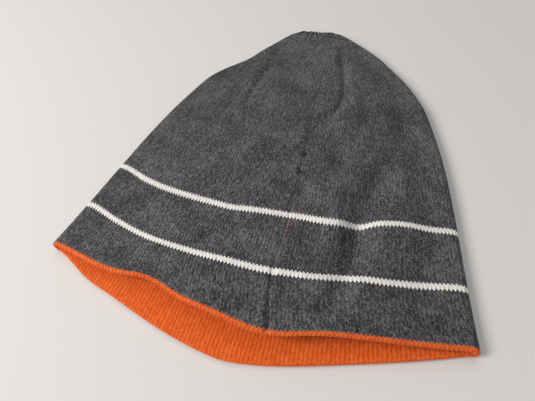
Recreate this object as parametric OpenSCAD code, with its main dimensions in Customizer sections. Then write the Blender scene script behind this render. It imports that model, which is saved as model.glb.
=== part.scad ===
// Knit beanie with a lining, lying flat with its back up.
// X runs along the brim, Y runs from the brim to the crown, and Z is up from the table at z = 0.
// The origin is on the table, midway between the two brim corners.
// The front half lies on the table. The back half lies on it and lifts about the end of the crown.
// Every knit piece is a thin sheet. A sheet point has a place across the hat, a row and a depth:
// rows count millimetres up the side folds, and depth goes inwards from the outer surface.

/* [Size] */
// Width across the brim, lying flat
brim_w = 210; // [190:1:230]
// Height from the brim corners to the end of the crown
crown_h = 198; // [185:1:215]
// Width of the gathered end of the crown
gather_w = 24; // [18:1:36]
// How far each side moves in for each millimetre of height
side_taper = 0.194; // [0.12:0.002:0.24]
// How squarely the crown rounds over
crown_power = 5.4; // [4:0.1:7]

/* [Drape] */
// How far the front brim bows out past the brim corners
front_bow = 32; // [20:1:40]
// How far the back brim bows out past the brim corners
back_bow = 16; // [8:1:24]
// Extra height of the hollow at the middle of the mouth
mouth_gap = 8; // [6:0.5:14]
// Half the thickness of the hat along its side folds
fold_r = 3.2; // [3.2:0.1:4.5]

/* [Knit] */
// Thickness of the outer shell
shell_t = 1.3; // [1:0.1:1.6]
// Thickness of the lining
lining_t = 1.1; // [0.8:0.1:1.2]
// Width of the lining edge turned out round the brim
edge_h = 2.8; // [2.4:0.2:6]
// Height of each light stripe
stripe_h = 2.8; // [2.4:0.2:6]
// Row of the lower stripe's bottom edge
lower_stripe_row = 26; // [18:0.5:34]
// Row of the upper stripe's bottom edge
upper_stripe_row = 54.5; // [46:0.5:66]
// Row where the crown's gores begin
gore_row = 105; // [90:1:125]

/* [Sewing] */
// How far the back seam lies to one side at the brim
seam_brim_x = 14; // [0:1:24]
// How far the back seam lies to one side at the end of the crown
seam_crown_x = 4; // [0:0.5:5]
// Share of the half width by which the crown's darts are turned to the same side
dart_turn = 0.1; // [0:0.02:0.16]
// Space that a seam leaves between two panels
seam_gap = 1; // [0.8:0.1:1.4]
// Radius of the sewing thread
thread_r = 0.25; // [0.15:0.05:0.3]
// Length of one machine stitch
stitch_l = 4; // [3:0.5:6]
// Number of hand stitches that close the turning gap
hand_stitches = 7; // [4:1:9]

/* [Hidden] */
// Clearances between neighbouring sheets, wider where the gores meet the band below
row_gap = 0.1;
gore_gap = 0.4;
layer_gap = 0.15;
fold_gap = 0.15;
// Depths of the lining
lining_top = shell_t + layer_gap;
full_t = lining_top + lining_t;
// Places across the hat: a share of the half width, or one of the two seams
left_fold = -1;
right_fold = 1;
back_seam = "back seam";
front_seam = "front seam";
dart_share = 2 / 3;
back_darts = [dart_turn - dart_share, dart_turn + dart_share];
front_darts = [-dart_turn - dart_share, -dart_turn + dart_share];
across_steps = 24;
// The gap at a panel's side that meets a seam
seam_half = seam_gap / 2;
// Threads at the crown's end run this far past the last row
closing_reach = 0.6;
// Rows of the gap left for turning the hat, now closed by hand
turning_rows = [84, 116];

charcoal = [0.27, 0.27, 0.29];
cream = [0.93, 0.92, 0.87];
orange = [0.90, 0.38, 0.12];
dark_thread = [0.10, 0.10, 0.11];

// Each half: which side of the fold plane it is on, its brim bow, the bow's roundness and its fade
FRONT = [-1, front_bow, 1.5, 8];
BACK = [1, back_bow, 1.8, 2];

function clamp01(v) = min(1, max(0, v));
function steps(from, to, count) = [for (i = [0:count]) from + (to - from) * i / count];

// Half the width of the hat at a row
function half_width(row) =
    gather_w / 2
    + (brim_w / 2 - gather_w / 2 - side_taper * row)
    * (1 - pow(clamp01(row / crown_h), crown_power));

// Half the height of the folded section, rounded towards the side folds and the crown's end
function fold_height(x, row, depth) =
    let (
        past_side = max(0, abs(x) - half_width(row) + fold_r) / (fold_r - depth),
        past_end = max(0, row * (1 - depth / crown_h) - crown_h + fold_r) / (fold_r - depth)
    )
    max(
        fold_gap,
        (fold_r - depth) * sqrt(max(0, 1 - pow(past_side, 2))) * sqrt(max(0, 1 - pow(past_end, 2)))
    );

// How far the puffed back rises, from the mouth down to nothing at the crown and the folds
function puff(share, row) =
    mouth_gap * (1 - pow(row / crown_h, 2)) * pow(1 - pow(share, 2), 1.5);

// One point of a sheet at x, a row and a depth
function knit_point(half, x, row, depth) =
    let (share = clamp01(abs(x) / (half_width(row) - depth)))
    [
        x,
        row * (1 - depth / crown_h)
        - half[1] * (1 - pow(row / crown_h, half[3])) * (1 - pow(share, half[2])),
        fold_r + half[0] * fold_height(x, row, depth)
        + (half[0] > 0 ? puff(share, row) : 0)
    ];

// The back seam runs straight up the hat; the crown's front seam mirrors it
function seam_x(row) = seam_brim_x + (seam_crown_x - seam_brim_x) * row / crown_h;
function edge_x(edge, row, depth) =
    edge == back_seam ? seam_x(row)
    : edge == front_seam ? -seam_x(row)
    : edge * (half_width(row) - depth);

// The x of a point part of the way between a panel's two edges, each set in by its gap.
// The steps shorten towards the folds, as the sine of an angle does.
function panel_x(part, edges, gaps, row, depth) =
    let (
        reach = half_width(row) - depth,
        low = asin((edge_x(edges[0], row, depth) + gaps[0]) / reach),
        high = asin((edge_x(edges[1], row, depth) - gaps[1]) / reach)
    )
    reach * sin(low + part * (high - low));

// Half of a sheet's thickness at a row, closing to a rounded nose at the brim fold
function nose(row, half_t) =
    row >= half_t ? half_t : half_t * max(0.25, sqrt(1 - pow(1 - row / half_t, 2)));

// A closed thin sheet between two edges, through a list of rows, from one depth to another
module sheet(half, edges, gaps, rows, depths, rounded = false) {
    span = asin(edge_x(edges[1], 0, 0) / half_width(0)) - asin(edge_x(edges[0], 0, 0) / half_width(0));
    across = max(3, ceil(span / 180 * across_steps));
    middle = (depths[0] + depths[1]) / 2;
    half_t = (depths[1] - depths[0]) / 2;
    points = [
        for (part = steps(0, 1, across)) for (row = rows) for (side = [-1, 1])
            let (
                depth = middle + side * (rounded ? nose(row, half_t) : half_t),
                x = panel_x(part, edges, gaps, row, depth)
            )
            knit_point(half, x, row, depth)
    ];
    last = len(rows) - 1;
    function at(j, i, side) = (j * (last + 1) + i) * 2 + side;
    function quad(a, b, c, d) = [[b, c, d], [b, d, a]];
    faces = [
        for (j = [0:across - 1]) for (i = [0:last - 1]) for (face = concat(
            quad(at(j, i, 0), at(j, i + 1, 0), at(j + 1, i + 1, 0), at(j + 1, i, 0)),
            quad(at(j, i, 1), at(j + 1, i, 1), at(j + 1, i + 1, 1), at(j, i + 1, 1))
        )) face,
        for (j = [0:across - 1]) for (face = concat(
            quad(at(j, 0, 0), at(j + 1, 0, 0), at(j + 1, 0, 1), at(j, 0, 1)),
            quad(at(j, last, 0), at(j, last, 1), at(j + 1, last, 1), at(j + 1, last, 0))
        )) face,
        for (i = [0:last - 1]) for (face = concat(
            quad(at(0, i, 0), at(0, i, 1), at(0, i + 1, 1), at(0, i + 1, 0)),
            quad(at(across, i, 0), at(across, i + 1, 0), at(across, i + 1, 1), at(across, i, 1))
        )) face
    ];
    turned = half[0] > 0 ? faces : [for (face = faces) [face[2], face[1], face[0]]];
    polyhedron(points, turned, convexity = 6);
}

// A thread of six sides through a list of points, with its section square to X or to Y
module thread(path, along_x = false) {
    sides = 6;
    last = len(path) - 1;
    points = [
        for (p = path) for (k = [0:sides - 1])
            let (c = thread_r * cos(k * 60), s = thread_r * sin(k * 60))
            along_x ? p + [0, c, s] : p + [s, 0, c]
    ];
    faces = [
        [for (k = [0:sides - 1]) k],
        for (i = [0:last - 1]) for (k = [0:sides - 1])
            let (a = i * sides, n = (k + 1) % sides)
            each [[a + k, a + sides + k, a + sides + n], [a + k, a + sides + n, a + n]],
        [for (k = [sides - 1:-1:0]) last * sides + k]
    ];
    polyhedron(points, [for (face = faces) [for (k = [len(face) - 1:-1:0]) face[k]]]);
}

// A running seam thread along one edge, weaving in depth between two rows
module seam_thread(half, edge, from, to, depth, weave) {
    count = 2 * ceil((to - from) / stitch_l);
    thread([
        for (i = [0:count])
            let (
                row = from + (to - from) * i / count,
                deep = depth + weave * (i % 2 == 0 ? -1 : 1)
            )
            knit_point(half, edge_x(edge, row, deep), row, deep)
    ]);
}

// A thread drawn through the last loops, from side to side of the crown's end
module crown_closing(half) {
    reach = gather_w / 2 - 2;
    count = 10;
    color(dark_thread)
    thread([
        for (i = [0:count])
            [
                -reach + 2 * reach * i / count,
                crown_h + closing_reach,
                fold_r + half[0] * (1 + 0.3 * (i % 2))
            ]
    ], along_x = true);
}

// The six kinds of knit piece, for one half and two edges across it
module brim_edge(half, edges, gaps) {
    color(orange)
    sheet(half, edges, gaps, [0, 0.25, 0.7, 1.3, edge_h], [0, full_t], rounded = true);
}
module band(half, edges, gaps, from, to, count) {
    color(charcoal)
    sheet(half, edges, gaps, steps(from + row_gap, to, count), [0, shell_t]);
}
module stripe(half, edges, gaps, from) {
    color(cream)
    sheet(half, edges, gaps, steps(from + row_gap, from + stripe_h, 1), [0, shell_t]);
}
module gore(half, edges, gaps) {
    rows = concat(
        steps(gore_row + gore_gap, crown_h - fold_r, 12),
        [for (a = [30, 60, 90]) crown_h - fold_r + fold_r * sin(a)]
    );
    color(charcoal)
    sheet(half, edges, gaps, rows, [0, shell_t]);
}
module lining(half, edges, gaps) {
    rows = concat(
        steps(edge_h + row_gap, crown_h - fold_r, 16),
        [for (a = [45, 90]) crown_h - fold_r + fold_r * sin(a)]
    );
    color(orange)
    sheet(half, edges, gaps, rows, [lining_top, full_t]);
}

// The panels of one width, placed by their rows
module lower_band(half, edges, gaps) band(half, edges, gaps, edge_h, lower_stripe_row, 3);
module lower_stripe(half, edges, gaps) stripe(half, edges, gaps, lower_stripe_row);
module middle_band(half, edges, gaps)
    band(half, edges, gaps, lower_stripe_row + stripe_h, upper_stripe_row, 3);
module upper_stripe(half, edges, gaps) stripe(half, edges, gaps, upper_stripe_row);
module upper_band(half, edges, gaps)
    band(half, edges, gaps, upper_stripe_row + stripe_h, gore_row, 5);

// Edges and gaps across the hat: the whole width, and each side of the back seam and of a dart
whole = [left_fold, right_fold];
whole_gaps = [0, 0];
left = [left_fold, back_seam];
left_gaps = [0, seam_half];
right = [back_seam, right_fold];
right_gaps = [seam_half, 0];
inner_gaps = [seam_half, seam_half];

// Front half, on the table
module front_brim_edge() brim_edge(FRONT, whole, whole_gaps);
module front_lower_band() lower_band(FRONT, whole, whole_gaps);
module front_lower_stripe() lower_stripe(FRONT, whole, whole_gaps);
module front_middle_band() middle_band(FRONT, whole, whole_gaps);
module front_upper_stripe() upper_stripe(FRONT, whole, whole_gaps);
module front_upper_band() upper_band(FRONT, whole, whole_gaps);
module front_left_side_gore() gore(FRONT, [left_fold, front_darts[0]], left_gaps);
module front_left_gore() gore(FRONT, [front_darts[0], front_seam], inner_gaps);
module front_right_gore() gore(FRONT, [front_seam, front_darts[1]], inner_gaps);
module front_right_side_gore() gore(FRONT, [front_darts[1], right_fold], right_gaps);
module front_dart_threads() {
    color(dark_thread)
    for (edge = [front_darts[0], front_seam, front_darts[1]])
        seam_thread(FRONT, edge, gore_row + 1, crown_h - fold_r, shell_t / 2, 0.2);
}
module front_lining() lining(FRONT, whole, whole_gaps);
module front_crown_closing() crown_closing(FRONT);

// Back half, split by the back seam
module back_left_brim_edge() brim_edge(BACK, left, left_gaps);
module back_right_brim_edge() brim_edge(BACK, right, right_gaps);
module back_left_lower_band() lower_band(BACK, left, left_gaps);
module back_right_lower_band() lower_band(BACK, right, right_gaps);
module back_left_lower_stripe() lower_stripe(BACK, left, left_gaps);
module back_right_lower_stripe() lower_stripe(BACK, right, right_gaps);
module back_left_middle_band() middle_band(BACK, left, left_gaps);
module back_right_middle_band() middle_band(BACK, right, right_gaps);
module back_left_upper_stripe() upper_stripe(BACK, left, left_gaps);
module back_right_upper_stripe() upper_stripe(BACK, right, right_gaps);
module back_left_upper_band() upper_band(BACK, left, left_gaps);
module back_right_upper_band() upper_band(BACK, right, right_gaps);
module back_left_side_gore() gore(BACK, [left_fold, back_darts[0]], left_gaps);
module back_left_gore() gore(BACK, [back_darts[0], back_seam], inner_gaps);
module back_right_gore() gore(BACK, [back_seam, back_darts[1]], inner_gaps);
module back_right_side_gore() gore(BACK, [back_darts[1], right_fold], right_gaps);
module back_left_lining() lining(BACK, left, left_gaps);
module back_right_lining() lining(BACK, right, right_gaps);
module back_seam_thread() {
    color(orange)
    seam_thread(BACK, back_seam, 1, crown_h - fold_r, shell_t / 2, 0.2);
}
module back_lining_seam_thread() {
    color(orange)
    seam_thread(BACK, back_seam, edge_h, crown_h - fold_r, lining_top + lining_t / 2, 0.1);
}
module back_dart_threads() {
    color(dark_thread)
    for (edge = back_darts)
        seam_thread(BACK, edge, gore_row + 1, crown_h - fold_r, shell_t / 2, 0.2);
}
module turning_gap_stitches() {
    reach = 1.6;
    slant = 1;
    count = 4;
    lift = thread_r + 0.15;
    color(dark_thread)
    for (row = steps(turning_rows[0], turning_rows[1], hand_stitches - 1))
        thread([
            for (i = [0:count])
                let (off = -reach + 2 * reach * i / count)
                knit_point(BACK, seam_x(row) + off, row + slant * off / reach, 0) + [0, 0, lift]
        ], along_x = true);
}
module back_crown_closing() crown_closing(BACK);

front_brim_edge();
front_lower_band();
front_lower_stripe();
front_middle_band();
front_upper_stripe();
front_upper_band();
front_left_side_gore();
front_left_gore();
front_right_gore();
front_right_side_gore();
front_dart_threads();
front_lining();
front_crown_closing();
back_left_brim_edge();
back_right_brim_edge();
back_left_lower_band();
back_right_lower_band();
back_left_lower_stripe();
back_right_lower_stripe();
back_left_middle_band();
back_right_middle_band();
back_left_upper_stripe();
back_right_upper_stripe();
back_left_upper_band();
back_right_upper_band();
back_left_side_gore();
back_left_gore();
back_right_gore();
back_right_side_gore();
back_left_lining();
back_right_lining();
back_seam_thread();
back_lining_seam_thread();
back_dart_threads();
turning_gap_stitches();
back_crown_closing();
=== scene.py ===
"""Looks for the knit beanie: knit sheets with every stitch as geometry, threads and yarn materials."""

import math

import bpy
import numpy as np
from mathutils import Matrix, Vector


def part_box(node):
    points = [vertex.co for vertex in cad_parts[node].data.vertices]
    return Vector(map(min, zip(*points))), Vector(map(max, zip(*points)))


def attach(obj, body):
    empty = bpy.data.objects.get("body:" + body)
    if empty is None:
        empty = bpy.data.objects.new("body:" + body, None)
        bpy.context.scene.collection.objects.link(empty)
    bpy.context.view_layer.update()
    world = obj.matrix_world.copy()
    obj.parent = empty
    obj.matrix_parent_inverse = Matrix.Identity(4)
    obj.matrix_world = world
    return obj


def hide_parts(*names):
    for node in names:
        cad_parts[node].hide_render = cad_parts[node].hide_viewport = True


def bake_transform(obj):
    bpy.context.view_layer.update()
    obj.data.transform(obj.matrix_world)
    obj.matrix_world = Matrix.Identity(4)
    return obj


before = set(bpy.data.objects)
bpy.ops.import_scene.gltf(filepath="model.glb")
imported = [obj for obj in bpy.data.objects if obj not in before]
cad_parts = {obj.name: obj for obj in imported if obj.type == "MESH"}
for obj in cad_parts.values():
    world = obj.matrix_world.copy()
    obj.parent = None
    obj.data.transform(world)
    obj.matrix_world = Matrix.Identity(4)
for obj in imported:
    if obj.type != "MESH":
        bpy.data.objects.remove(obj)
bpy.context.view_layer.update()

# Lengths are in millimetres below. Meshes are made in metres.
MM = 0.001


def top_row(node):
    """The highest row of a node: at the side folds a row is the same as y."""
    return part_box(node)[1].y / MM


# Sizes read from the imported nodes
HALF_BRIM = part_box("front_brim_edge")[1].x / MM
CROWN_H = top_row("front_left_gore")
FRONT_BOW = -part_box("front_brim_edge")[0].y / MM
BACK_BOW = -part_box("back_left_brim_edge")[0].y / MM
# The share of the edge's solid that shows: the rest lies behind the first course of the shell
EDGE_SHOWN = 0.72
EDGE_ROW = EDGE_SHOWN * top_row("front_brim_edge")
# First and last row of each band and stripe
ROWS = {
    "lower_band": (EDGE_ROW, top_row("front_lower_band")),
    "lower_stripe": (top_row("front_lower_band"), top_row("front_lower_stripe")),
    "middle_band": (top_row("front_lower_stripe"), top_row("front_middle_band")),
    "upper_stripe": (top_row("front_middle_band"), top_row("front_upper_stripe")),
    "upper_band": (top_row("front_upper_stripe"), top_row("front_upper_band")),
}
GORE_ROW = top_row("front_upper_band")

# The CAD's shape rules: the outline, the side folds, the hollow between the halves and the thicknesses
HALF_GATHER = 12.0
SIDE_TAPER = 0.194
CROWN_POWER = 5.4
FOLD_R = 3.2
MOUTH_GAP = 8.0
HOLLOW_POWER = 1.5
SHELL_T = 1.3
LINING_T = 1.1
FULL_T = 2.55
# How the bow of each half's rows fades towards the side folds, and the front's towards the crown
BACK_BOW_POWER = 1.8
FRONT_BOW_POWER = 1.5
FRONT_BOW_ROW_POWER = 8
# The back seam's two ends, and the darts' places as shares of the half width
SEAM_BRIM = (14.0, -16.0)
SEAM_CROWN = (4.0, CROWN_H)
DART_SHARE = 2 / 3
DART_TURN = 0.1

# The knit: wales on each side of the back seam, and the sizes of a stitch
WALES_LEFT = 63
WALES_RIGHT = 49
WALES_FRONT = WALES_LEFT + WALES_RIGHT
COURSE_H = 1.13
ZIGZAG = 1.25
YARN_RELIEF = 0.34


# ---- The surface ----

# How the real fabric's outline differs from the CAD's rule: row, reach and change of the half width
OUTLINE_CHANGES = [(138, 11, 1.1), (163, 13, -2.4), (200, 4, -2.8)]
BRIM_FLARE = 1.7
FLARE_ROWS = 25.0


def half_width(row):
    """Half the width at a row: the CAD's rule with the real fabric's flared brim and uneven shoulder."""
    inner = HALF_BRIM - HALF_GATHER - SIDE_TAPER * row
    width = HALF_GATHER + inner * (1 - np.clip(row / CROWN_H, 0, 1) ** CROWN_POWER)
    for place_row, reach, change in OUTLINE_CHANGES:
        width = width + change * np.exp(-(((row - place_row) / reach) ** 2))
    return width + BRIM_FLARE * np.exp(-np.maximum(row, 0) / FLARE_ROWS)


def unroll(length, limit):
    """A place along a path that runs straight to limit - FOLD_R and then turns a quarter circle:
    how far out it is, and the share of the fold radius that is left."""
    past = np.clip((length - limit + FOLD_R) / FOLD_R, 0, math.pi / 2)
    out = np.where(past > 0, limit - FOLD_R + FOLD_R * np.sin(past), length)
    return out, np.cos(past)


# How much longer the path round a fold is than the straight way to the fold's outermost place
FOLD_EXTRA = FOLD_R * (math.pi / 2 - 1)


def path_width(path_row):
    """Length across half the hat at a row, round the side fold."""
    return half_width(unroll(path_row, CROWN_H)[0]) + FOLD_EXTRA


def bump(x, y, centre, sizes, turn):
    """A smooth hill of height 1. turn is the angle of its first half size from X, in degrees."""
    c, s = math.cos(math.radians(turn)), math.sin(math.radians(turn))
    dx, dy = x - centre[0], y - centre[1]
    along, across = c * dx + s * dy, -s * dx + c * dy
    return np.exp(-((along / sizes[0]) ** 2) - (across / sizes[1]) ** 2)


# Soft folds of the back: centre, half sizes, turn, and height
BACK_FOLDS = [
    ((46, 42), (6.5, 16), 0, -3.0),
    ((34, 47), (10, 15), 0, 2.6),
    ((70, 48), (12, 14), 0, 1.8),
    ((33, 66), (11, 12), 0, 2.0),
    ((38, 108), (12, 26), 10, 1.2),
    ((-20, 135), (9, 24), 0, 0.8),
    ((-50, 60), (30, 8), -12, 1.4),
    ((-28, 68), (30, 7), -10, -1.2),
    ((-30, -10), (14, 10), 0, -1.5),
    ((45, -6), (22, 9), 0, 1.2),
]
# Slides of the back's rows along the table: centre (its second number is a row), half sizes, turn, and shift
BACK_SLIDES = [
    ((-50, 42), (38, 30), 0, -4.6),
    ((12, 15), (30, 26), 0, -2.6),
    ((-18, 57), (10, 10), 0, -1.2),
    ((34, 50), (11, 20), 0, -2.6),
    ((17, -2), (18, 9), 0, -3.5),
    ((-44, -3), (16, 12), 0, 4.6),
    ((64, 57), (20, 14), 0, 1.4),
    ((47, 26), (11, 12), 0, 1.5),
    ((0, 0), (100, 10), 0, 1.5),
]
FRONT_SLIDES = [
    ((-80, 0), (14, 25), 0, -1.4),
    ((52, 0), (34, 30), 0, 1.6),
]
# Slides fade out over this share of the half width next to a side fold, and folds and creases over theirs
SLIDE_CALM = 0.2
FOLD_CALM = 0.25
# Folds and creases also fade out over the last rows of the crown
CROWN_CALM_ROWS = 25.0
# The crown's shoulder and its gathered end are shifted to opposite sides
SHOULDER_SHIFT = 2.4
SHOULDER_ROW = 159.0
SHOULDER_REACH = 11.0
CROWN_LEAN = -7.3
LEAN_ROW = 175.0
# The gathered end is tilted, and the fabric hangs down a little round the side folds
TIP_TILT = 0.11
TIP_ROWS = 20.0
FOLD_DROOP = 1.1
DROOP_REACH = 4.0
# Creases of the back: a line of places, the depth and the reach to each side. The first two are the crown's
# pulled seam, which bends beside the sewn one. Then come two on the left, two in the right side's
# valley, and the seam's end at the brim.
BACK_CREASES = [
    ([(10, 83), (11, 94), (13, 106), (16, 112), (20, 121)], 1.8, 4.2),
    ([(16, 112), (22, 124), (21.5, 138), (18.5, 152), (15, 165), (10, 184)], 2.5, 2.8),
    ([(-34, 104), (-35, 123), (-34, 134), (-32, 146), (-32, 160), (-30, 176)], 1.5, 2.8),
    ([(-62, 80), (-65, 97), (-60, 120)], 1.0, 3.0),
    ([(48, 58), (53, 78), (59, 97), (63, 118), (57, 133), (46, 148)], 2.4, 5.5),
    ([(40, -8), (48, 26), (47, 60)], 2.0, 6.5),
    ([(18.5, -30), (17.6, -16), (14.3, -2), (12.6, 16)], 1.1, 1.5),
]
# Each crease fades in and out over this length, and has a low bulge beside it: its height as a share of the
# depth, and its reach as a multiple of the crease's
CREASE_END = 9.0
BULGE_HEIGHT = 0.5
BULGE_REACH = 2.8
# The fabric's gentle unevenness: its height, and the length and number of its waves
RIPPLE_HEIGHT = 0.55
RIPPLE_SIZE = 34.0
RIPPLE_WAVES = 7
RIPPLE_SEED = 4
# Half the step over which the slope of the surface is measured
SLOPE_STEP = 0.15


def polyline_distance(x, y, points):
    """Distance from each place to a polyline."""
    best = np.full(np.shape(x), 1e9)
    for (x0, y0), (x1, y1) in zip(points, points[1:]):
        dx, dy = x1 - x0, y1 - y0
        part = np.clip(((x - x0) * dx + (y - y0) * dy) / (dx * dx + dy * dy), 0, 1)
        best = np.minimum(best, np.hypot(x - x0 - part * dx, y - y0 - part * dy))
    return best


def ripple(x, y):
    """Gentle uneven waves, each with its own direction, length and start. Their sum is scaled to about 1."""
    rng = np.random.default_rng(RIPPLE_SEED)
    total = np.zeros(np.shape(x))
    for turn, stretch, start in rng.uniform((0, 0.7, 0), (math.pi, 1.4, 2 * math.pi), (RIPPLE_WAVES, 3)):
        phase = (x * math.cos(turn) + y * math.sin(turn)) * 2 * math.pi / (RIPPLE_SIZE * stretch)
        total += np.sin(phase + start)
    return total / 4


def lean(row):
    """How far a row is shifted across: the shoulder one way, and the gathered end the other way."""
    part = np.clip((row - LEAN_ROW) / (CROWN_H - LEAN_ROW), 0, 1)
    shoulder = SHOULDER_SHIFT * np.exp(-(((row - SHOULDER_ROW) / SHOULDER_REACH) ** 2))
    return shoulder + CROWN_LEAN * part * part * (3 - 2 * part)


def slid(x, y, row, share, slides):
    """y with the slides of the fabric added. share is the place between the middle, 0, and a side fold, 1."""
    calm = np.clip((1 - share) / SLIDE_CALM, 0, 1)
    for centre, sizes, turn, shift in slides:
        y = y + calm * shift * bump(x, row, centre, sizes, turn)
    return y


def back_y(x, row, share):
    """Where a row of the back lies: bowed like the CAD's, with its slides."""
    y = row - BACK_BOW * (1 - (row / CROWN_H) ** 2) * (1 - share**BACK_BOW_POWER)
    return slid(x, y, row, share, BACK_SLIDES)


def front_y(x, row, share):
    """Where a row of the front lies."""
    y = row - FRONT_BOW * (1 - (row / CROWN_H) ** FRONT_BOW_ROW_POWER) * (1 - share**FRONT_BOW_POWER)
    return slid(x, y, row, share, FRONT_SLIDES)


def sag(x, row, inside):
    """How far the fabric is moved along the table by the drooping side folds and the tilted gathered end.

    inside is the distance from the side fold."""
    tip = np.clip((row - CROWN_H + TIP_ROWS) / TIP_ROWS, 0, 1) ** 2
    droop = FOLD_DROOP * np.exp(-((inside / DROOP_REACH) ** 2)) * (1 - (row / CROWN_H) ** 2)
    return TIP_TILT * tip * (x - CROWN_LEAN) - droop


def crease(x, y, line, depth, reach):
    """Height that one crease adds: a furrow with a low bulge on each side, faded at both ends."""
    away = polyline_distance(x, y, line) / reach
    ends = np.clip((y - line[0][1]) / CREASE_END, 0, 1) * np.clip((line[-1][1] - y) / CREASE_END, 0, 1)
    return ends * depth * (BULGE_HEIGHT * np.exp(-((away / BULGE_REACH) ** 2)) - np.exp(-(away**2)))


def base_point(half, path, path_row):
    """A point of the hat's outer surface without its stitches. path is the length across from the middle."""
    row, row_left = unroll(path_row, CROWN_H)
    width = half_width(row)
    out, side_left = unroll(np.abs(path), width)
    x = np.sign(path) * out + lean(row)
    share = np.clip(out / width, 0, 1)
    height = FOLD_R * row_left * side_left
    if half == "front":
        y = front_y(x, row, share) + sag(x, row, width - out)
        return np.stack([x, y, FOLD_R - height], -1)
    y = back_y(x, row, share) + sag(x, row, width - out)
    z = FOLD_R + height + MOUTH_GAP * (1 - (row / CROWN_H) ** 2) * (1 - share**2) ** HOLLOW_POWER
    calm = np.clip((1 - share) / FOLD_CALM, 0, 1) ** 2 * np.clip((CROWN_H - row) / CROWN_CALM_ROWS, 0, 1)
    for centre, sizes, turn, rise in BACK_FOLDS:
        z = z + calm * rise * bump(x, y, centre, sizes, turn)
    for line, depth, reach in BACK_CREASES:
        z = z + calm * crease(x, y, line, depth, reach)
    z = z + calm * RIPPLE_HEIGHT * ripple(x, y)
    return np.stack([x, y, z], -1)


def along_rows(half, path, path_row):
    """The way that leads up the rows at each place, not scaled to a length."""
    return base_point(half, path, path_row + SLOPE_STEP) - base_point(half, path, path_row - SLOPE_STEP)


def normals(half, path, path_row):
    """Outward normals of the surface without stitches."""
    across = base_point(half, path + SLOPE_STEP, path_row) - base_point(half, path - SLOPE_STEP, path_row)
    n = np.cross(across, along_rows(half, path, path_row))
    n /= np.maximum(np.linalg.norm(n, axis=-1, keepdims=True), 1e-9)
    return n if half == "back" else -n


# The back seam wanders off its straight line: at a row, over a reach, by a shift across. It also turns away
# towards the brim, by SEAM_KICK at the brim itself.
SEAM_SWAYS = [(57, 13, 0.7), (26, 12, -0.9)]
SEAM_KICK = 4.5
SEAM_KICK_ROW = 26.0
SEAM_KICK_POWER = 1.4
# Rounds of the loop that finds its place
SEAM_ROUNDS = 6


def seam_path(path_row):
    """Where the back seam crosses a row. Its place and its row's bow depend on each other, hence the loop."""
    row, _ = unroll(path_row, CROWN_H)
    slope = (SEAM_CROWN[0] - SEAM_BRIM[0]) / (SEAM_CROWN[1] - SEAM_BRIM[1])
    x = np.full(np.shape(path_row), SEAM_BRIM[0])
    for _ in range(SEAM_ROUNDS):
        y = back_y(x, row, np.abs(x - lean(row)) / half_width(row))
        x = SEAM_BRIM[0] + slope * (y - SEAM_BRIM[1])
    for at, reach, shift in SEAM_SWAYS:
        x = x + shift * np.exp(-(((row - at) / reach) ** 2))
    return x - lean(row) + SEAM_KICK * np.clip(1 - row / SEAM_KICK_ROW, 0, 1) ** SEAM_KICK_POWER


def front_seam_path(path_row):
    """The front's crown seam lies under the back's."""
    return -seam_path(path_row)


def share_path(share):
    """A line up the hat at a share of the half width: -1 and 1 are the side folds."""
    return lambda path_row: share * path_width(path_row)


LEFT_FOLD = share_path(-1)
RIGHT_FOLD = share_path(1)
BACK_DARTS = [share_path(DART_TURN - DART_SHARE), share_path(DART_TURN + DART_SHARE)]
FRONT_DARTS = [share_path(-DART_TURN - DART_SHARE), share_path(-DART_TURN + DART_SHARE)]
LAST_ROW = CROWN_H + FOLD_EXTRA


# ---- Knit sheets ----

# Sharper bends than this many degrees keep a hard edge
SHARP_ANGLE = 70
# Gore columns: the space kept free at an edge, as a share of a wale, and the length over which the zigzag
# fades in from the edge
GORE_MARGIN = 0.3
GORE_CALM = 1.5


class Mesh:
    """Points, triangles and stitch places of one piece while it is put together."""

    def __init__(self):
        self.points = []
        self.faces = []
        self.stitches = []
        self.count = 0

    def add(self, points, faces, stitches):
        """Adds a group of vertices with its triangles, and gives the number of its first vertex."""
        start = self.count
        self.points.append(points)
        self.faces.append(np.asarray(faces, np.int64).reshape(-1, 3) + start)
        self.stitches.append(stitches)
        self.count += len(points)
        return start

    def join(self, faces):
        """Adds triangles between vertices that are there already."""
        self.faces.append(np.asarray(faces, np.int64).reshape(-1, 3))

    def make(self, name, material):
        """The finished object, with its faces turned outwards."""
        points = np.concatenate(self.points)
        faces = np.concatenate(self.faces)
        a, b, c = points[faces[:, 0]], points[faces[:, 1]], points[faces[:, 2]]
        if np.einsum("ij,ij->i", a, np.cross(b, c)).sum() < 0:
            faces = faces[:, ::-1]
        mesh = bpy.data.meshes.new(name)
        mesh.vertices.add(len(points))
        mesh.vertices.foreach_set("co", (points * MM).astype(np.float32).ravel())
        mesh.loops.add(faces.size)
        mesh.loops.foreach_set("vertex_index", faces.astype(np.int32).ravel())
        mesh.polygons.add(len(faces))
        mesh.polygons.foreach_set("loop_start", np.arange(0, faces.size, 3, dtype=np.int32))
        mesh.update(calc_edges=True)
        mesh.shade_smooth()
        mesh.set_sharp_from_angle(angle=math.radians(SHARP_ANGLE))
        stitch = mesh.attributes.new("stitch", "FLOAT_VECTOR", "POINT")
        stitch.data.foreach_set("vector", np.concatenate(self.stitches).astype(np.float32).ravel())
        mesh.materials.append(material)
        piece = bpy.data.objects.new(name, mesh)
        bpy.context.scene.collection.objects.link(piece)
        return piece


def zipper(outer, inner, outer_part, inner_part):
    """Triangles between two lines of vertices that run side by side."""
    faces, i, j = [], 0, 0
    while i < len(outer) - 1 or j < len(inner) - 1:
        if j == len(inner) - 1 or (i < len(outer) - 1 and outer_part[i + 1] <= inner_part[j + 1]):
            faces.append((outer[i + 1], outer[i], inner[j]))
            i += 1
        else:
            faces.append((outer[i], inner[j], inner[j + 1]))
            j += 1
    return faces


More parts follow.
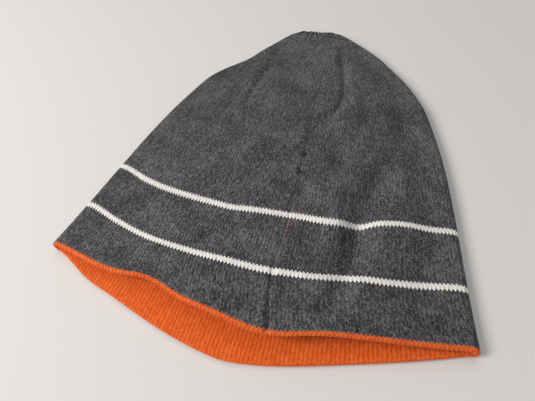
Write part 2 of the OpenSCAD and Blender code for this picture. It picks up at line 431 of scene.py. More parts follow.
class Lattice:
    """The stitches of one panel: which columns and rows of vertices it has, and where its edges are.

    low and high give the panel's two edges at each row. Columns of a band are shared out between the edges.
    Columns of a gore keep one pitch from an anchor line, and end where they meet an edge."""

    def __init__(
        self, half, low, high, first_row, last_row, wales, anchor=None, pitch=0, wale_from=0, calm_ends=(0, 0)
    ):
        self.half = half
        self.low = low
        self.high = high
        self.first_row = first_row
        self.last_row = last_row
        self.wales = wales
        self.anchor = anchor
        self.pitch = pitch
        self.wale_from = wale_from
        self.calm_ends = calm_ends
        self.courses = max(1, round((last_row - first_row) / COURSE_H))
        self.course_height = (last_row - first_row) / self.courses

    def columns(self, per_wale):
        """The wale number of each column of vertices."""
        if self.anchor is None:
            return np.arange(self.wales * per_wale + 1) / per_wale
        return np.arange(-self.wales * per_wale, self.wales * per_wale + 1) / per_wale

    def vertices(self, wale, rows):
        """Path, path row and wale of each vertex, and the column that each one is merged into."""
        rows = rows[:, None] + np.zeros(len(wale))
        shift = zigzag(wale)
        for end, calm in zip((self.first_row, self.last_row), self.calm_ends):
            if calm:
                shift = shift * np.clip(np.abs(rows - end) / calm, 0, 1)
        wales = np.broadcast_to(wale, rows.shape)
        if self.anchor is None:
            shifted = rows + shift
            owner = np.broadcast_to(np.arange(len(wale)), rows.shape)
            return self.shared_path(wale, shifted), shifted, wales, owner
        path = self.anchor(rows) + wale * self.pitch
        low, high = self.low(rows), self.high(rows)
        margin = GORE_MARGIN * self.pitch
        inside = (path > low + margin) & (path < high - margin)
        count = inside.sum(1)
        first = np.where(count > 0, inside.argmax(1), 0)
        middle = np.abs(path - (low + high) / 2).argmin(1)
        first = np.where(count > 0, first, np.clip(middle, 1, len(wale) - 2))
        left = first - 1
        right = np.where(count > 0, first + count, first)
        column = np.arange(len(wale))
        owner = np.clip(column, left[:, None], right[:, None])
        near = np.minimum(path - low, high - path)
        shifted = rows + np.where(inside, shift * np.clip(near / GORE_CALM, 0, 1), 0)
        moved = self.anchor(shifted) + wale * self.pitch
        path = np.clip(np.where(inside, moved, path), self.low(shifted), self.high(shifted))
        path = np.where(column <= left[:, None], low, path)
        path = np.where(column >= right[:, None], high, path)
        return path, shifted, wales, owner

    def shared_path(self, wale, path_row):
        """The path of a band's columns, shared out between its two edges."""
        part = wale / self.wales
        return self.low(path_row) * (1 - part) + self.high(path_row) * part


def zigzag(wale):
    """How far a place across a stitch is moved along the wale, so that each stitch is a V."""
    phase = wale - np.floor(wale) - 0.5
    return ZIGZAG * (2 * np.abs(phase) - 0.5)


def grid_faces(ids):
    """Two triangles for each cell of a grid of vertex numbers."""
    a, b, c, d = ids[:-1, :-1], ids[:-1, 1:], ids[1:, 1:], ids[1:, :-1]
    return np.concatenate([np.stack([a, b, c], -1).reshape(-1, 3), np.stack([a, c, d], -1).reshape(-1, 3)])


def surface_grid(lattice, wale, rows, depth, relief_side, dress):
    """Merged vertices, triangles and border lines of one side of a sheet."""
    path, path_row, wales, owner = lattice.vertices(wale, rows)
    count = path.shape[1]
    ids = np.arange(path.shape[0])[:, None] * count + owner
    points = base_point(lattice.half, path, path_row)
    n = normals(lattice.half, path, path_row)
    course = (rows - lattice.first_row)[:, None] / lattice.course_height + np.zeros(count)
    points = points - n * depth
    if relief_side:
        height = dress(lattice, path, path_row, wales, course)
        points = points + relief_side * n * height[..., None]
    stitches = np.stack([wales + lattice.wale_from, course + lattice.first_row / COURSE_H, 0 * course], -1)
    faces = grid_faces(ids)
    keep = (faces[:, 0] != faces[:, 1]) & (faces[:, 1] != faces[:, 2]) & (faces[:, 0] != faces[:, 2])
    used, faces_new = np.unique(faces[keep], return_inverse=True)
    number = np.full(ids.max() + 1, -1)
    number[used] = np.arange(len(used))
    edge = number[ids]
    borders = {}
    bottom, top = np.unique(ids[0]), np.unique(ids[-1])
    flat_path = path.ravel()
    for name, line, value in (
        ("bottom", bottom, flat_path[bottom]),
        ("right", ids[:, -1], rows),
        ("top", top[::-1], -flat_path[top[::-1]]),
        ("left", ids[::-1, 0], -rows[::-1]),
    ):
        span = max(value[-1] - value[0], 1e-9)
        borders[name] = (number[line], (value - value[0]) / span)
    return points.reshape(-1, 3)[used], faces_new.reshape(-1, 3), stitches.reshape(-1, 3)[used], borders


# The plain side of a sheet has one row of vertices for this many courses, and one column for two wales
COARSE_COURSES = 3


def sheet(name, material, lattice, detail, depths, relief_side, dress, rows=None):
    """A closed sheet: a fine side with stitches at depths[0], a plain coarse side at depths[1], and a rim.

    detail is the columns of vertices in a wale and the rows in a course. relief_side is 1 where the stitches
    rise outwards and -1 where they rise inwards. dress gives their height."""
    per_wale, per_course = detail
    if rows is None:
        rows = np.linspace(lattice.first_row, lattice.last_row, lattice.courses * per_course + 1)
    wale = lattice.columns(per_wale)
    fine = surface_grid(lattice, wale, rows, depths[0], relief_side, dress)
    coarse_steps = np.searchsorted(rows, np.arange(rows[0], rows[-1] - COURSE_H, COARSE_COURSES * COURSE_H))
    coarse_rows = rows[np.append(coarse_steps, len(rows) - 1)]
    step = 2 * per_wale
    coarse_wale = wale[np.unique(np.append(np.arange(0, len(wale), step), len(wale) - 1))]
    coarse = surface_grid(lattice, coarse_wale, coarse_rows, depths[1], 0, dress)
    mesh = Mesh()
    mesh.add(*fine[:3])
    start = mesh.add(coarse[0], coarse[1][:, ::-1], coarse[2])
    for side in ("bottom", "right", "top", "left"):
        (outer, outer_part), (inner, inner_part) = fine[3][side], coarse[3][side]
        mesh.join(zipper(outer, inner + start, outer_part, inner_part))
    return mesh.make(name, material)


# Relief of a stitch, as shares of a leg's height: between its two legs, at a leg's ends, and the mean level
LEG_VALLEY = 0.35
LEG_END = 0.4
MEAN_LEVEL = 0.45
# Uneven height of the shell's stitch legs
UNEVEN_LEGS = 0.10
UNEVEN_SEED = 3
# Furrows of the back seam and of the crown's darts: depth and reach
SEAM_FURROW = (0.45, 0.9)
DART_FURROW = (0.4, 1.0)
# The crown's gathers: the rows they take, their height, their number on each side, and how much they sink
GATHER_ROWS = 26
GATHER_HEIGHT = 0.55
GATHER_COUNT = 7
GATHER_SINK = 0.4
# The lining's stitches stand this much higher than the shell's
LINING_RELIEF = 1.15


def yarn_relief(wale, course):
    """Height of the two legs of each stitch, before it is scaled."""
    phase = np.abs(wale - np.floor(wale) - 0.5)
    leg = np.sin(2 * np.pi * phase)
    leg = np.where(phase < 0.25, LEG_VALLEY + (1 - LEG_VALLEY) * leg, leg)
    along = np.abs(np.sin(np.pi * course))
    return leg * (LEG_END + (1 - LEG_END) * along) - MEAN_LEVEL


def stitch_noise(wale, course):
    """A fixed random number for each stitch leg, from 0 to 1, by the usual sine hash."""
    number = np.floor(wale * 2) * 12.9898 + np.floor(course + 1e-6) * 78.233 + UNEVEN_SEED
    value = np.sin(number) * 43758.5453
    return value - np.floor(value)


def shell_dress(lattice, path, path_row, wale, course):
    """The shell's stitches, its seam and dart furrows, and its gathers at the crown."""
    height = YARN_RELIEF * yarn_relief(wale, course)
    height += UNEVEN_LEGS * (stitch_noise(wale, course) - 0.5)
    for line, depth, reach in furrows(lattice):
        away = np.abs(path - line(path_row))
        height -= depth * np.exp(-((away / reach) ** 2))
    row, _ = unroll(path_row, CROWN_H)
    gathered = np.clip((row - CROWN_H + GATHER_ROWS) / GATHER_ROWS, 0, 1) ** 2
    share = path / path_width(path_row)
    height += GATHER_HEIGHT * gathered * (np.cos(2 * np.pi * GATHER_COUNT * share) - GATHER_SINK)
    return height


def furrows(lattice):
    """Seams that sink into the sheet: their lines, depths and reaches."""
    if lattice.half == "back":
        lines = [(seam_path, *SEAM_FURROW)]
        darts = BACK_DARTS
    else:
        lines = []
        darts = FRONT_DARTS + [front_seam_path]
    if lattice.anchor is not None:
        lines += [(dart, *DART_FURROW) for dart in darts]
    return lines


def lining_dress(lattice, path, path_row, wale, course):
    """The lining's stitches, with its wales a little prouder."""
    return LINING_RELIEF * YARN_RELIEF * yarn_relief(wale, course)


# Numbers the edge's courses apart from the bands', so that their mottling differs
EDGE_COURSE_FROM = 500
# Courses on each of the folded edge's legs, and round its nose
LEG_COURSES = 4
NOSE_COURSES = 5


def brim_edge(name, material, lattice, detail):
    """The lining folded round the brim: an outer leg, a round nose and an inner leg, closed at its ends."""
    per_wale, per_course = detail
    radius = FULL_T / 2
    leg = lattice.last_row - radius
    leg_rows = np.linspace(lattice.last_row, radius, LEG_COURSES * per_course)
    turn = np.linspace(0, math.pi, NOSE_COURSES * per_course)
    rows = np.concatenate([leg_rows, np.full(len(turn) - 2, radius), leg_rows[::-1]])
    turns = np.concatenate([np.zeros(len(leg_rows)), turn[1:-1], np.full(len(leg_rows), math.pi)])
    length = np.concatenate([[0], np.cumsum(np.abs(np.diff(rows)) + radius * np.abs(np.diff(turns)))])
    wale = lattice.columns(per_wale)
    path_row = rows[:, None] + zigzag(wale) * ((rows - radius) / leg)[:, None]
    path = lattice.shared_path(wale, path_row)
    n = normals(lattice.half, path, path_row)
    along = along_rows(lattice.half, path, path_row)
    along /= np.linalg.norm(along, axis=-1, keepdims=True)
    out = n * np.cos(turns)[:, None, None] - along * np.sin(turns)[:, None, None]
    course = length[:, None] / COURSE_H + np.zeros(len(wale))
    height = YARN_RELIEF * yarn_relief(wale, course)
    points = base_point(lattice.half, path, path_row) - n * radius + out * (radius + height)[..., None]
    stitches = np.stack([wale + lattice.wale_from + 0 * course, course + EDGE_COURSE_FROM, 0 * course], -1)
    ids = np.arange(course.size).reshape(course.shape)
    faces = [grid_faces(ids)]
    top, bottom = ids[0], ids[-1]
    faces.append(np.stack([top[:-1], bottom[:-1], bottom[1:]], -1))
    faces.append(np.stack([top[:-1], bottom[1:], top[1:]], -1))
    half_count = (len(ids) - 1) // 2 + 1
    for column, flip in ((0, 1), (-1, -1)):
        line = ids[:, column]
        here, there = line[:half_count], line[::-1][:half_count]
        for i in range(len(here) - 1):
            strip = [(here[i], here[i + 1], there[i + 1]), (here[i], there[i + 1], there[i])]
            strip = [f for f in strip if len(set(f)) == 3]
            faces.append(np.array(strip)[:, ::flip])
    mesh = Mesh()
    mesh.add(points.reshape(-1, 3), np.concatenate(faces), stitches.reshape(-1, 3))
    return mesh.make(name, material)


# ---- Threads ----

STRAND_SIDES = 8
STRAND_TAPER = 0.45
STITCH_POINTS = 7
# How far a short stitch dives in at its ends
STITCH_DIVE = 0.5


def strand(mesh, points, radius):
    """A round strand through a list of points, tapered and closed at its ends."""
    sides = STRAND_SIDES
    points = np.asarray(points, float)
    tangent = np.gradient(points, axis=0)
    tangent /= np.linalg.norm(tangent, axis=1, keepdims=True)
    guide = np.array([0, 0, 1.0]) if abs(tangent[:, 2]).max() < 0.9 else np.array([1.0, 0, 0])
    first = np.cross(tangent, guide)
    first /= np.linalg.norm(first, axis=1, keepdims=True)
    second = np.cross(tangent, first)
    angle = np.arange(sides) * 2 * math.pi / sides
    taper = np.ones(len(points))
    taper[[0, -1]] = STRAND_TAPER
    ring = first[:, None] * np.cos(angle)[:, None] + second[:, None] * np.sin(angle)[:, None]
    verts = points[:, None] + radius * taper[:, None, None] * ring
    verts = np.concatenate([verts.reshape(-1, 3), points[:1], points[-1:]])
    count = len(points) * sides
    ids = np.arange(count).reshape(len(points), sides)
    ids = np.concatenate([ids, ids[:, :1]], 1)
    first_cap = np.stack([ids[0, 1:], ids[0, :-1], np.full(sides, count)], -1)
    last_cap = np.stack([ids[-1, :-1], ids[-1, 1:], np.full(sides, count + 1)], -1)
    stitches = np.zeros((len(verts), 3))
    stitches[:count, 0] = np.tile(angle, len(points))
    stitches[:count, 1] = np.repeat(np.linspace(0, 1, len(points)), sides)
    mesh.add(verts, np.concatenate([grid_faces(ids), first_cap, last_cap]), stitches)


def lifted(half, path, path_row, lift):
    """Points above the surface by lift, where lift may be a list."""
    path, path_row = np.broadcast_arrays(np.asarray(path, float), np.asarray(path_row, float))
    return base_point(half, path, path_row) + normals(half, path, path_row) * np.asarray(lift)[..., None]


def short_stitch(mesh, half, path, path_row, rise, arch, radius, slant, reach):
    """One stitch: it reaches to both sides of its place, slants along the rows, and dives in at its ends.

    rise is the height of its ends before they dive, and arch how much higher its middle is."""
    part = np.linspace(-1, 1, STITCH_POINTS)
    lift = arch * (1 - part**2) - STITCH_DIVE * np.abs(part) ** 6 + rise
    strand(mesh, lifted(half, path + reach * part, path_row + slant * part, lift), radius)


# ---- Yarn materials ----

# Scales of the mottling: small spots of fibres, single fibres, wider patches, and the warm and cool tint
SPOT_SCALE = 2000.0
FIBRE_SCALE = 4200.0
PATCH_SCALE = 70.0
TINT_SCALE = 260.0
# Shares of spots, fibres and patches in the mottling
SPOT_SHARE = 0.8
FIBRE_SHARE = 0.4
PATCH_SHARE = 0.2
# How narrow the painted shade in the gaps between wales is
GAP_POWER = 4.0
# Height of the fuzz on the yarn, in metres
FUZZ_HEIGHT = 0.00012


def add_node(tree, kind, inputs=None, **settings):
    """A shader node: inputs are values or sockets, settings are its properties."""
    made = tree.nodes.new(kind)
    for key, value in settings.items():
        setattr(made, key, value)
    for key, value in (inputs or {}).items():
        if isinstance(value, bpy.types.NodeSocket):
            tree.links.new(value, made.inputs[key])
        else:
            made.inputs[key].default_value = value
    return made


def maths(tree, operation, first, second=0.0):
    return add_node(tree, "ShaderNodeMath", {0: first, 1: second}, operation=operation).outputs[0]


def vector_maths(tree, operation, first, second=(0, 0, 0)):
    return add_node(tree, "ShaderNodeVectorMath", {0: first, 1: second}, operation=operation).outputs[0]


def yarn_material(name, stops, speckle, painted_gap_shade, tint=0.0):
    """Mottled yarn: each stitch leg, each small spot of fibres and each wider patch takes its own shade.

    stops are (place from 0 to 1, colour); speckle is how much of the mottling changes at every leg.
    The gap shade is painted shade, darkening the gaps between wales where shade falls, and tint turns the
    colour a little warmer and cooler in turn."""
    material = bpy.data.materials.new(name)
    material.use_nodes = True
    tree = material.node_tree
    shader = tree.nodes["Principled BSDF"]
    stitch = add_node(tree, "ShaderNodeAttribute", attribute_name="stitch").outputs["Vector"]
    legs = vector_maths(tree, "FLOOR", vector_maths(tree, "MULTIPLY", stitch, (2, 1, 1)))
    white_noise = add_node(tree, "ShaderNodeTexWhiteNoise", {"Vector": legs}, noise_dimensions="3D")
    leg_shade = white_noise.outputs["Value"]
    position = add_node(tree, "ShaderNodeTexCoord").outputs["Object"]

    def noise(scale, detail):
        made = add_node(tree, "ShaderNodeTexNoise", {"Vector": position, "Scale": scale, "Detail": detail})
        return made.outputs["Fac"]

    spots = noise(SPOT_SCALE, detail=2.0)
    fibre = noise(FIBRE_SCALE, detail=2.0)
    patches = noise(PATCH_SCALE, detail=1.0)
    mottle = maths(tree, "MULTIPLY", leg_shade, speckle)
    for shade, share in ((spots, SPOT_SHARE), (fibre, FIBRE_SHARE), (patches, PATCH_SHARE)):
        mottle = maths(tree, "ADD", mottle, maths(tree, "MULTIPLY", shade, share * (1 - speckle)))
    ramp = add_node(tree, "ShaderNodeValToRGB", {"Fac": mottle})
    elements = ramp.color_ramp.elements
    while len(elements) < len(stops):
        elements.new(0.5)
    for element, (at, colour) in zip(elements, stops):
        element.position = at
        element.color = (*colour, 1)
    # Painted shade: the gaps between wales are darkened where shade falls between the yarn legs
    wale = add_node(tree, "ShaderNodeSeparateXYZ", {"Vector": stitch}).outputs["X"]
    away = maths(tree, "ABSOLUTE", maths(tree, "SUBTRACT", maths(tree, "FRACT", wale), 0.5))
    gap = maths(tree, "POWER", maths(tree, "MULTIPLY", away, 2.0), GAP_POWER)
    light = maths(tree, "SUBTRACT", 1.0, maths(tree, "MULTIPLY", gap, painted_gap_shade))
    warm = maths(tree, "MULTIPLY", maths(tree, "SUBTRACT", noise(TINT_SCALE, detail=2.0), 0.5), tint)
    shade = add_node(tree, "ShaderNodeCombineXYZ", {
        "X": maths(tree, "MULTIPLY", light, maths(tree, "ADD", 1.0, warm)),
        "Y": light,
        "Z": maths(tree, "MULTIPLY", light, maths(tree, "SUBTRACT", 1.0, warm)),
    }).outputs["Vector"]
    colour = vector_maths(tree, "MULTIPLY", ramp.outputs["Color"], shade)
    tree.links.new(colour, shader.inputs["Base Color"])
    shader.inputs["Roughness"].default_value = 0.9
    shader.inputs["Sheen Weight"].default_value = 0.2
    shader.inputs["Sheen Roughness"].default_value = 0.5
    shader.inputs["Specular IOR Level"].default_value = 0.2
    fuzz = add_node(tree, "ShaderNodeBump", {"Height": fibre, "Strength": 0.5, "Distance": FUZZ_HEIGHT})
    tree.links.new(fuzz.outputs["Normal"], shader.inputs["Normal"])
    return material


SHELL_KNIT = yarn_material(
    "charcoal_heather_knit",
    [(0.40, (0.005, 0.005, 0.007)), (0.56, (0.021, 0.020, 0.022)), (0.66, (0.050, 0.048, 0.051)),
     (0.80, (0.200, 0.195, 0.202))],
    speckle=0.14, painted_gap_shade=0.45, tint=0.22,
)
STRIPE_KNIT = yarn_material(
    "cream_knit",
    [(0.3, (0.52, 0.50, 0.455)), (0.55, (0.75, 0.72, 0.66)), (0.8, (0.87, 0.845, 0.80))],
    speckle=0.3, painted_gap_shade=0.25,
)
LINING_KNIT = yarn_material(
    "orange_lining_knit",
    [(0.3, (0.56, 0.066, 0.006)), (0.55, (0.75, 0.107, 0.011)), (0.8, (0.87, 0.17, 0.025))],
    speckle=0.3, painted_gap_shade=0.45,
)
SEAM_THREAD = yarn_material(
    "orange_thread", [(0.3, (0.26, 0.055, 0.020)), (0.8, (0.42, 0.105, 0.040))], speckle=0.2, painted_gap_shade=0.0
)
DARK_THREAD = yarn_material(
    "dark_thread", [(0.3, (0.008, 0.008, 0.010)), (0.8, (0.022, 0.022, 0.026))], speckle=0.2, painted_gap_shade=0.0
)


# ---- The hat ----


def place(piece, node, slot):
    """Hangs a piece on the frame in place of its node: the front on its own body, the back with its transform
    baked into its mesh.
    """
    piece.name = piece.name.split(".")[0] + ("_yarn" if slot.endswith("thread") else "_knit")
    if node.startswith("front"):
        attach(piece, "front")
    else:
        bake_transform(piece)
    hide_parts(node)


# Columns of vertices in a wale and rows in a course
FINE = (6, 3)
MEDIUM = (4, 2)
LINING_FINE = (4, 3)
EDGE_ROWS = 3
# Over this length the zigzag of the stitches fades out at a gathered end
CALM = 2 * COURSE_H
# How far the lining's end stays inside the shell's
LINING_SHORT = 1.2
# The linings' courses next to the mouth, with all their rows of vertices
NEAR_FRONT = 40
NEAR_BACK = 30


def dress_half(half, prefix, low, high, wales, detail, wale_from):
    """The edge, bands and stripes between two edges across one half."""
    lattice = Lattice(half, low, high, 0, EDGE_ROW, wales, wale_from=wale_from)
    edge = prefix + "brim_edge"
    place(brim_edge(edge, LINING_KNIT, lattice, (detail[0], EDGE_ROWS)), edge, "lining_knit")
    for name, (first, last) in ROWS.items():
        lattice = Lattice(half, low, high, first, last, wales, wale_from=wale_from)
        stripe = "stripe" in name
        material = STRIPE_KNIT if stripe else SHELL_KNIT
        piece = sheet(prefix + name, material, lattice, detail, (0, SHELL_T), 1, shell_dress)
        place(piece, prefix + name, "stripe_knit" if stripe else "shell_knit")


def shifted(line, step):
    """A line moved across by a step."""
    return lambda path_row: line(path_row) + step


def dress_gores(half, band, detail, gores):
    """The crown's gores over one band: each has its two edges, its anchor, its wale numbers and its side.

    band is the band's two edges and its wale count. The gores' wales carry on from the band's wales."""
    band_low, band_high, band_wales = band
    row = np.array(GORE_ROW)
    pitch = (band_high(row) - band_low(row)).item() / band_wales
    for node, low, high, anchor, wale_from, side in gores:
        off = ((anchor(row) - band_low(row)) / pitch).item()
        step = (round(off) - off) * pitch
        wales = math.ceil((high(row) - low(row)).item() / pitch) + 2
        lattice = Lattice(
            half, low, high, GORE_ROW, LAST_ROW, wales,
            anchor=shifted(anchor, step), pitch=pitch, wale_from=wale_from, calm_ends=(0, CALM),
        )
        piece = sheet(node, SHELL_KNIT, lattice, detail, (0, SHELL_T), 1, shell_dress)
        place(piece, node, "shell_knit")


def dress_lining(half, node, low, high, wales, detail, near_courses):
    """A lining sheet: its first courses have all their rows of vertices, and those deep inside have fewer."""
    lattice = Lattice(half, low, high, EDGE_ROW, LAST_ROW - LINING_SHORT, wales, calm_ends=(0, CALM))
    per_course = detail[1]
    near = lattice.first_row + np.arange(near_courses * per_course) * lattice.course_height / per_course
    deep_from = lattice.first_row + near_courses * lattice.course_height
    deep = np.linspace(deep_from, lattice.last_row, (lattice.courses - near_courses) // 2 + 1)
    rows = np.concatenate([near, deep])
    piece = sheet(node, LINING_KNIT, lattice, detail, (FULL_T, FULL_T - LINING_T), -1, lining_dress, rows)
    place(piece, node, "lining_knit")


# Each gore counts its wales from its own number, and the front counts apart from the back, so that no two
# pieces have the same mottling.
dress_half("front", "front_", LEFT_FOLD, RIGHT_FOLD, WALES_FRONT, MEDIUM, 300)
dress_half("back", "back_left_", LEFT_FOLD, seam_path, WALES_LEFT, FINE, 0)
dress_half("back", "back_right_", seam_path, RIGHT_FOLD, WALES_RIGHT, FINE, WALES_LEFT)
dress_gores("back", (LEFT_FOLD, seam_path, WALES_LEFT), FINE, [
    ("back_left_side_gore", LEFT_FOLD, BACK_DARTS[0], LEFT_FOLD, 500, -1),
    ("back_left_gore", BACK_DARTS[0], seam_path, seam_path, 600, -1),
])
dress_gores("back", (seam_path, RIGHT_FOLD, WALES_RIGHT), FINE, [
    ("back_right_gore", seam_path, BACK_DARTS[1], seam_path, 700, 1),
    ("back_right_side_gore", BACK_DARTS[1], RIGHT_FOLD, RIGHT_FOLD, 800, 1),
])
dress_gores("front", (LEFT_FOLD, RIGHT_FOLD, WALES_FRONT), MEDIUM, [
    ("front_left_side_gore", LEFT_FOLD, FRONT_DARTS[0], LEFT_FOLD, 900, None),
    ("front_left_gore", FRONT_DARTS[0], front_seam_path, front_seam_path, 1000, None),
    ("front_right_gore", front_seam_path, FRONT_DARTS[1], front_seam_path, 1100, None),
    ("front_right_side_gore", FRONT_DARTS[1], RIGHT_FOLD, RIGHT_FOLD, 1200, None),
])
dress_lining("front", "front_lining", LEFT_FOLD, RIGHT_FOLD, WALES_FRONT, LINING_FINE, NEAR_FRONT)
dress_lining("back", "back_left_lining", LEFT_FOLD, seam_path, WALES_LEFT, MEDIUM, NEAR_BACK)
dress_lining("back", "back_right_lining", seam_path, RIGHT_FOLD, WALES_RIGHT, MEDIUM, NEAR_BACK)


# ---- Threads of the hat ----

THREAD_R = 0.25
SEAM_THREAD_R = 0.2
# Each thread's stitches: first row, row past the last, and step
SEAM_ROWS = (6, CROWN_H - 8, 2.1)
LINING_SEAM_ROWS = (EDGE_ROW + 2, CROWN_H - 10, 2.6)
DART_ROWS = (GORE_ROW + 2, CROWN_H - 6, 3.1)
TURNING_ROWS = (80, 112, 1.1)
# The back seam's thread shows below this row, less and less over this many rows
SHOWN_ROW = 54
SHOWN_ROWS = 32
# How deep the seam's thread lies where it is hidden, and how far it rises where it shows most
SEAM_HIDDEN = 1.35
SEAM_RISE = 1.2
# How deep the darts' thread lies
DART_SUNK = 0.55
# Unevenness of these two threads: its height, and its turn at each stitch
SEAM_UNEVEN = (0.12, 2.3)
DART_UNEVEN = (0.06, 1.7)
# The lining seam's stitches: how far their ends are sunk and middles stand out, their reach and slant
LINING_SUNK = 0.1
LINING_ARCH = 0.3
LINING_REACH = 0.9
LINING_SLANT = 0.7
# The turning gap's stitches: the rows of the two clumps and their reach, the height of the ends in a clump
# and between them, how much thicker a clump's are, and the most that a stitch slants and lies to a side
CLUMP_ROWS = (82, 93)
CLUMP_REACH = 1.8
CLUMP_RISE = 0.1
BETWEEN_RISE = -0.8
CLUMP_THICKER = 1.4
TURNING_SLANT = 1.6
TURNING_OFF = 0.6
TURNING_SEED = 11
# The crown's closing thread: its points, its gap to the sides and the top of the gathered end, its height
# from the folds' middle, and its waves: their height, and their phase at its ends
CLOSING_POINTS = 60
CLOSING_INSET = 3
CLOSING_BELOW = 0.1
CLOSING_HEIGHT = 0.6
CLOSING_WAVE = 0.25
CLOSING_PHASE = 21


def uneven(number, size, start=0):
    """A small height that differs from stitch to stitch."""
    height, turn = size
    return height * math.sin(number * turn + start)


def shown(row):
    """How far the back seam's stitches come out: most under the upper stripe, less further down."""
    return math.sqrt(max(0.0, 1 - (SHOWN_ROW - row) / SHOWN_ROWS)) if row < SHOWN_ROW else 0.0


def back_seam_thread(name, side, offset, deeper):
    """A column of small slanted stitches on one side of the seam."""
    mesh = Mesh()
    for i, row in enumerate(np.arange(*SEAM_ROWS)):
        sunk = SEAM_HIDDEN - SEAM_RISE * shown(row) + uneven(i, SEAM_UNEVEN, side) + deeper
        path = seam_path(np.array(row)).item() + offset * side
        short_stitch(mesh, "back", path, row, -sunk, arch=0.22, radius=SEAM_THREAD_R, slant=0.9, reach=0.45)
    place(mesh.make(name, SEAM_THREAD), "back_seam_thread", "seam_thread")


def back_lining_seam_thread():
    """Slanted stitches on the inside of the lining's back seam."""
    mesh = Mesh()
    part = np.linspace(-1, 1, STITCH_POINTS)
    lift = -FULL_T + LINING_SUNK - LINING_ARCH * (1 - part**2)
    for row in np.arange(*LINING_SEAM_ROWS):
        path = seam_path(np.array(row)).item()
        points = lifted("back", path + LINING_REACH * part, row + LINING_SLANT * part, lift)
        strand(mesh, points, THREAD_R)
    place(mesh.make("back_lining_seam_thread", SEAM_THREAD), "back_lining_seam_thread", "seam_thread")


def dart_threads(name, half, darts):
    """The stitches sunk in each dart's furrow."""
    mesh = Mesh()
    for dart in darts:
        for i, row in enumerate(np.arange(*DART_ROWS)):
            path = dart(np.array(row)).item()
            rise = uneven(i, DART_UNEVEN) - DART_SUNK
            short_stitch(mesh, half, path, row, rise, arch=0.2, radius=THREAD_R, slant=0.5, reach=0.7)
    place(mesh.make(name, DARK_THREAD), half + "_dart_threads", "dark_thread")


def turning_gap_stitches():
    """Uneven hand stitches over the back seam, pulled up in two clumps and sunk between them."""
    mesh = Mesh()
    rng = np.random.default_rng(TURNING_SEED)
    for row in np.arange(*TURNING_ROWS):
        clump = min(abs(row - clump_row) for clump_row in CLUMP_ROWS) < CLUMP_REACH
        slant = rng.uniform(-TURNING_SLANT, TURNING_SLANT)
        path = seam_path(np.array(row)).item() + rng.uniform(-TURNING_OFF, TURNING_OFF)
        rise = CLUMP_RISE if clump else BETWEEN_RISE
        radius = THREAD_R * (CLUMP_THICKER if clump else 1)
        short_stitch(mesh, "back", path, row, rise, arch=0.3, radius=radius, slant=slant, reach=1.5)
    place(mesh.make("turning_gap_stitches", DARK_THREAD), "turning_gap_stitches", "dark_thread")


def crown_closing(half):
    """The thread drawn through the last loops at the crown's end."""
    mesh = Mesh()
    sign = 1 if half == "back" else -1
    part = np.linspace(-1, 1, CLOSING_POINTS)
    x = CROWN_LEAN + (HALF_GATHER - CLOSING_INSET) * part
    z = FOLD_R + sign * (CLOSING_HEIGHT + CLOSING_WAVE * np.sin(part * CLOSING_PHASE))
    strand(mesh, np.stack([x, np.full(len(part), CROWN_H - CLOSING_BELOW), z], -1), THREAD_R)
    node = half + "_crown_closing"
    place(mesh.make(node, DARK_THREAD), node, "dark_thread")


back_seam_thread("back_left_seam_thread", -1, 1.5, 0.2)
back_seam_thread("back_right_seam_thread", 1, 1.2, 0.0)
back_lining_seam_thread()
dart_threads("back_left_dart_threads", "back", BACK_DARTS[:1])
dart_threads("back_right_dart_threads", "back", BACK_DARTS[1:])
dart_threads("front_dart_threads", "front", FRONT_DARTS + [front_seam_path])
turning_gap_stitches()
crown_closing("back")
crown_closing("front")


# ---- Floor, light and camera ----

FLOOR_SIZE = 60
# The floor lies a little below the hat, so that the two never share a plane
FLOOR_DROP = 0.0003
FLOOR_COLOUR = (0.69, 0.67, 0.645)
# Strength of the world's light on the hat, and the brightness at which the camera sees it
AMBIENT_LIGHT = 0.28
BACKDROP_LIGHT = 0.72
# The camera: its direction and roll in degrees, its place, and its lens
VIEW_AZIMUTH = 23.23
VIEW_ELEVATION = 56.34
VIEW_ROLL = -8.15
EYE_PLACE = (47.7, -66.5, 198.5)
LENS = 29.2
SENSOR = 36
# The middle of the hat, in metres
HAT_MIDDLE = Vector((0, 0.09, 0))


def direction(azimuth, elevation):
    """The way from the hat to a place at these angles in degrees. Azimuth 0 is in front of the brim."""
    a, e = math.radians(azimuth), math.radians(elevation)
    return Vector((math.sin(a) * math.cos(e), -math.cos(a) * math.cos(e), math.sin(e)))


def floor():
    """A plain pale table top."""
    material = bpy.data.materials.new("pale_table")
    material.use_nodes = True
    shader = material.node_tree.nodes["Principled BSDF"]
    shader.inputs["Base Color"].default_value = (*FLOOR_COLOUR, 1)
    shader.inputs["Roughness"].default_value = 0.8
    bpy.ops.mesh.primitive_plane_add(size=FLOOR_SIZE, location=(0, 0, -FLOOR_DROP))
    table = bpy.context.object
    table.name = "floor"
    table.data.materials.append(material)


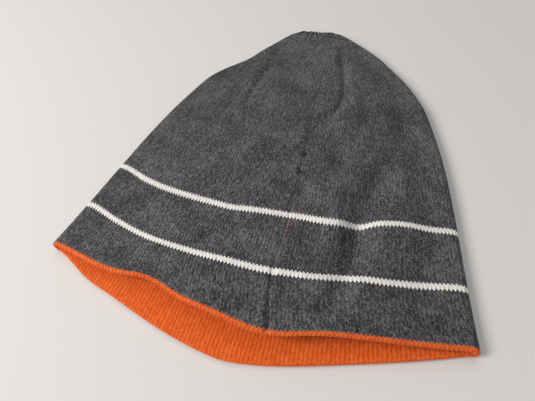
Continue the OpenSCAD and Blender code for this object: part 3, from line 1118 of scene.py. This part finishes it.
def add_light(data, azimuth, elevation, distance=1.0):
    """Puts a light at a direction and distance from the hat's middle, facing it."""
    back = direction(azimuth, elevation)
    lamp = bpy.data.objects.new(data.name, data)
    bpy.context.scene.collection.objects.link(lamp)
    lamp.location = HAT_MIDDLE + back * distance
    lamp.rotation_mode = "QUATERNION"
    lamp.rotation_quaternion = (-back).to_track_quat("-Z", "Y")


def key_light():
    """A soft box on the left of the brim."""
    data = bpy.data.lights.new("key", "AREA")
    data.energy = 9.6
    data.size = 0.45
    data.color = (1.0, 0.975, 0.945)
    add_light(data, azimuth=300, elevation=42, distance=1.1)


def fill_light():
    """A wide weak light from behind the crown, even over the whole table."""
    data = bpy.data.lights.new("fill", "SUN")
    data.energy = 0.75
    data.angle = math.radians(50)
    data.color = (1.0, 0.985, 0.97)
    add_light(data, azimuth=190, elevation=60)


def studio():
    """The two lamps and the world, which the camera sees brighter than the hat does."""
    key_light()
    fill_light()
    world = bpy.data.worlds.new("studio")
    world.use_nodes = True
    background = world.node_tree.nodes["Background"]
    background.inputs["Color"].default_value = (0.95, 0.97, 1.0, 1)
    seen = add_node(world.node_tree, "ShaderNodeLightPath").outputs["Is Camera Ray"]
    strength = maths(world.node_tree, "MULTIPLY_ADD", seen, BACKDROP_LIGHT - AMBIENT_LIGHT)
    strength.node.inputs[2].default_value = AMBIENT_LIGHT
    world.node_tree.links.new(strength, background.inputs["Strength"])
    bpy.context.scene.world = world
    bpy.context.scene.view_settings.view_transform = "Standard"


def camera():
    """The camera above the brim, turned a little to the right and rolled."""
    azimuth, roll = math.radians(VIEW_AZIMUTH), math.radians(VIEW_ROLL)
    back = direction(VIEW_AZIMUTH, VIEW_ELEVATION)
    level = Vector((math.cos(azimuth), math.sin(azimuth), 0))
    up = back.cross(level)
    right = math.cos(roll) * level + math.sin(roll) * up
    up = back.cross(right)
    data = bpy.data.cameras.new("camera")
    data.lens = LENS
    data.sensor_width = SENSOR
    data.clip_start = 0.01
    data.clip_end = 20
    eye = bpy.data.objects.new("camera", data)
    bpy.context.scene.collection.objects.link(eye)
    turned = Matrix((right, up, back)).transposed().to_4x4()
    eye.matrix_world = Matrix.Translation(Vector(EYE_PLACE) * MM) @ turned
    bpy.context.scene.camera = eye


floor()
studio()
camera()
